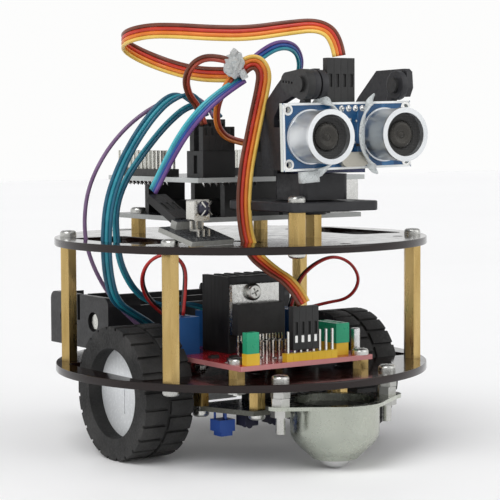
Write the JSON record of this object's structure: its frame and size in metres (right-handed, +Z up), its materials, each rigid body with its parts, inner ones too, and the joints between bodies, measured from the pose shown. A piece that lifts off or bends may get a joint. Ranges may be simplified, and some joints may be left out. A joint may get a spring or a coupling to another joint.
{
  "type": "robot car",
  "caption": "Small wheeled robot car with two stacked round decks, side wheels, a front ball caster, circuit boards, a battery holder and a distance sensor on a turning head.",
  "frame": {"origin": "centre of the car on the floor it stands on", "axes": "+Z up; the car drives towards -Y, so its right side is -X"},
  "size_m": [0.1266, 0.1442, 0.1413],
  "materials": {
    "deck_acrylic": "polished",
    "brass": "satin",
    "screw_steel": "satin",
    "nut_steel": "satin",
    "shaft_steel": "polished",
    "motor_steel": "satin",
    "gearbox_brass": "satin",
    "clamp_plastic": "satin",
    "tyre_rubber": "matt",
    "rim_plastic": "gloss",
    "caster_zinc": "bright zinc",
    "caster_black": "matt",
    "ball_steel": "polished",
    "tracker_pcb": "solder mask",
    "black_plastic": "matt",
    "eye_plastic": "gloss",
    "dial_blue": "matt",
    "driver_pcb": "solder mask",
    "chip_case": "matt",
    "terminal_blue": "matt",
    "header_yellow": "matt",
    "jumper_green": "matt",
    "heatsink_black": "anodised",
    "capacitor_can": "satin",
    "holder_plastic": "satin",
    "contact_nickel": "nickel plate",
    "controller_pcb": "solder mask",
    "shield_pcb": "solder mask",
    "socket_nickel": "nickel plate",
    "pin_tin": "tin plate",
    "receiver_pcb": "solder mask",
    "shield_tin": "tin plate",
    "nylon_black": "moulded",
    "servo_blue": "gloss",
    "horn_black": "moulded",
    "sonar_pcb": "solder mask",
    "can_aluminium": "satin",
    "grille_black": "matt",
    "crystal_steel": "satin",
    "tie_nylon": "translucent",
    "ribbon_warm": "satin",
    "ribbon_cool": "satin",
    "wire_mixed": "satin"
  },
  "bodies": {
    "chassis": {"battery_contacts": "contact_nickel", "battery_holder": "holder_plastic", "board_spacers": "brass", "caster_cup": "caster_zinc", "caster_plug": "caster_black", "controller_board": "controller_pcb", "controller_chip": "chip_case", "deck_posts": "brass", "driver_board": "driver_pcb", "driver_capacitor": "capacitor_can", "driver_chip": "chip_case", "driver_header": "header_yellow", "driver_heatsink": "heatsink_black", "driver_jumpers": "jumper_green", "driver_ribbon": "ribbon_warm", "driver_terminals": "terminal_blue", "gearboxes": "gearbox_brass", "header_bodies": "black_plastic", "header_pins": "pin_tin", "jumper_plugs": "black_plastic", "loose_wires": "wire_mixed", "lower_deck": "deck_acrylic", "machine_nuts": "nut_steel", "machine_screws": "screw_steel", "motor_clamps": "clamp_plastic", "motor_left": "motor_steel", "motor_right": "motor_steel", "pan_table": "nylon_black", "power_jack": "black_plastic", "receiver_board": "receiver_pcb", "receiver_eye": "shield_tin", "receiver_ribbon": "ribbon_cool", "servo_output": "horn_black", "servo_ribbon": "ribbon_cool", "shield_board": "shield_pcb", "sonar_ribbon": "ribbon_warm", "tracker_board": "tracker_pcb", "tracker_dial": "dial_blue", "tracker_eyes": "eye_plastic", "tracker_ribbon": "ribbon_cool", "upper_deck": "deck_acrylic", "usb_socket": "socket_nickel"},
    "wheel_right": {"tyre_right": "tyre_rubber", "rim_right": "rim_plastic", "axle_right": "shaft_steel"},
    "wheel_left": {"tyre_left": "tyre_rubber", "rim_left": "rim_plastic", "axle_left": "shaft_steel"},
    "ball": {"caster_ball": "ball_steel"},
    "pan_head": {"pan_servo": "servo_blue", "pan_bracket": "nylon_black"},
    "tilt_head": {"sensor_cradle": "nylon_black", "tilt_horn": "horn_black", "tilt_pins": "screw_steel", "sonar_board": "sonar_pcb", "sonar_cans": "can_aluminium", "sonar_grilles": "grille_black", "sonar_crystal": "crystal_steel", "sonar_plug": "black_plastic", "sensor_ties": "tie_nylon"}
  },
  "joints": [
    {"name": "wheel_right_spin", "type": "hinge", "parent": "chassis", "child": "wheel_right", "pos_m": [0, 0.00613, 0.022], "axis": [1, 0, 0], "continuous": true},
    {"name": "wheel_left_spin", "type": "hinge", "parent": "chassis", "child": "wheel_left", "pos_m": [0, 0.00613, 0.022], "axis": [1, 0, 0], "continuous": true},
    {"name": "ball_roll", "type": "hinge", "parent": "chassis", "child": "ball", "pos_m": [0, -0.04637, 0.007], "axis": [1, 0, 0], "continuous": true},
    {"name": "head_pan", "type": "hinge", "parent": "chassis", "child": "pan_head", "pos_m": [0.0004, -0.03347, 0.09], "axis": [0, 0, 1], "range_deg": [-90, 90], "deforming": ["sonar_ribbon", "driver_ribbon", "servo_ribbon", "receiver_ribbon", "loose_wires"]},
    {"name": "sensor_tilt", "type": "hinge", "parent": "pan_head", "child": "tilt_head", "pos_m": [-0.0017, -0.05748, 0.1216], "axis": [0.9962, -0.0872, 0], "range_deg": [-30, 20], "deforming": ["sonar_ribbon"]}
  ]
}
